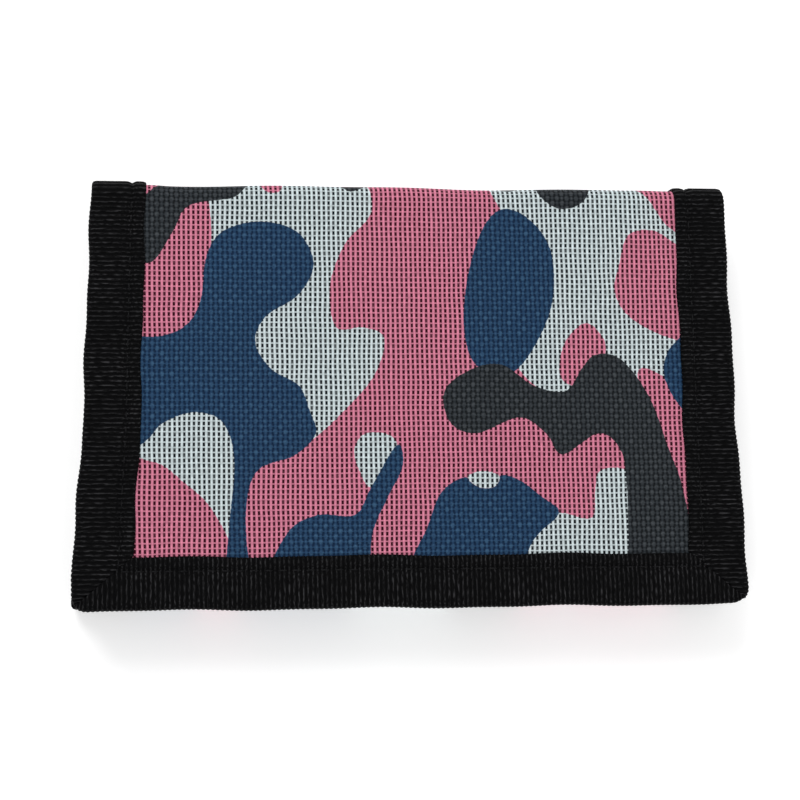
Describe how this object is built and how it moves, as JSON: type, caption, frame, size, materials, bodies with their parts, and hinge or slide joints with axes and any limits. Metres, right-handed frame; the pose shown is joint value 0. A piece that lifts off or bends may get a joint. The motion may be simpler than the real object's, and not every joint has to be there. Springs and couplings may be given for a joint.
{
  "type": "trifold wallet",
  "caption": "Fabric trifold wallet with ribbed edge binding, card pockets, a note compartment, a clear window, a zipped coin pocket and a hook-and-loop closure.",
  "frame": {"origin": "middle of the folded wallet's footprint, on the surface that its back binding lies on", "axes": "+X along the folds, +Y towards the top fold, +Z out of the front flap's printed face"},
  "size_m": [0.125, 0.08, 0.0159],
  "materials": {
    "printed_cloth": "woven polyester with a camouflage print",
    "lining": "thin black coated nylon",
    "binding_tape": "black ribbed tape, slightly shiny",
    "clear_vinyl": "clear soft vinyl",
    "hook_tape": "black hook fastener",
    "loop_tape": "black loop fastener",
    "zip_tape": "black woven zipper tape",
    "zip_coil": "black nylon coil",
    "zip_metal": "grey metal with a satin finish"
  },
  "bodies": {
    "back_panel": {"shell_back": "printed_cloth", "liner_back": "lining", "note_edge_tape_back": "binding_tape", "binding_back_left": "binding_tape", "binding_back_right": "binding_tape", "card_pocket_1": "lining", "card_pocket_hem_1": "binding_tape", "card_pocket_2": "lining", "card_pocket_hem_2": "binding_tape", "card_pocket_3": "lining", "card_pocket_hem_3": "binding_tape"},
    "top_fold": {"shell_top_fold": "printed_cloth", "liner_top_fold": "lining", "note_edge_tape_top_fold": "binding_tape", "binding_top_fold_left": "binding_tape", "binding_top_fold_right": "binding_tape"},
    "front_flap": {"shell_front": "printed_cloth", "liner_front": "lining", "note_edge_tape_front": "binding_tape", "binding_front_left": "binding_tape", "binding_front_right": "binding_tape", "binding_front_bottom": "binding_tape", "hook_strip": "hook_tape", "id_window": "clear_vinyl", "id_window_tape_lower": "binding_tape", "id_window_tape_upper": "binding_tape", "id_window_tape_end": "binding_tape"},
    "bottom_fold": {"shell_bottom_fold": "printed_cloth", "liner_bottom_fold": "lining", "binding_bottom_fold_left": "binding_tape", "binding_bottom_fold_right": "binding_tape"},
    "inner_flap": {"shell_inner": "printed_cloth", "liner_inner": "lining", "binding_inner_left": "binding_tape", "binding_inner_right": "binding_tape", "binding_inner_end": "binding_tape", "coin_pocket_panel": "lining", "coin_pocket_strip": "lining", "zipper_coil_lower": "zip_coil", "zipper_tape_lower": "zip_tape", "zipper_coil_upper": "zip_coil", "zipper_tape_upper": "zip_tape", "zipper_stop_open_end": "zip_metal", "zipper_stop_shut_end": "zip_metal", "loop_strip": "loop_tape"},
    "zipper_slider": {"zipper_slider": "zip_metal"},
    "zipper_pull": {"zipper_pull": "zip_metal"}
  },
  "joints": [
    {"name": "top_back_crease", "type": "hinge", "parent": "back_panel", "child": "top_fold", "pos_m": [0, 0.03935, 0.00065], "axis": [-1, 0, 0], "range_deg": [0, 90]},
    {"name": "top_front_crease", "type": "hinge", "parent": "top_fold", "child": "front_flap", "pos_m": [0, 0.03935, 0.0152], "axis": [-1, 0, 0], "range_deg": [0, 90]},
    {"name": "bottom_back_crease", "type": "hinge", "parent": "back_panel", "child": "bottom_fold", "pos_m": [0, -0.03835, 0.00065], "axis": [1, 0, 0], "range_deg": [0, 90]},
    {"name": "bottom_front_crease", "type": "hinge", "parent": "bottom_fold", "child": "inner_flap", "pos_m": [0, -0.03835, 0.0107], "axis": [1, 0, 0], "range_deg": [0, 90]},
    {"name": "zipper_slide", "type": "slide", "parent": "inner_flap", "child": "zipper_slider", "axis": [-1, 0, 0], "range_m": [0, 0.076]},
    {"name": "zipper_pull_hinge", "type": "hinge", "parent": "zipper_slider", "child": "zipper_pull", "pos_m": [0.04, -0.01445, 0.00575], "axis": [0, -1, 0], "range_deg": [0, 90]}
  ],
  "couplings": [
    {"joint": "top_front_crease", "follows": "top_back_crease", "ratio": 1},
    {"joint": "bottom_back_crease", "follows": "top_back_crease", "ratio": 1},
    {"joint": "bottom_front_crease", "follows": "top_back_crease", "ratio": 1},
    {"joint": "zipper_pull_hinge", "follows": "top_back_crease", "ratio": 1}
  ]
}
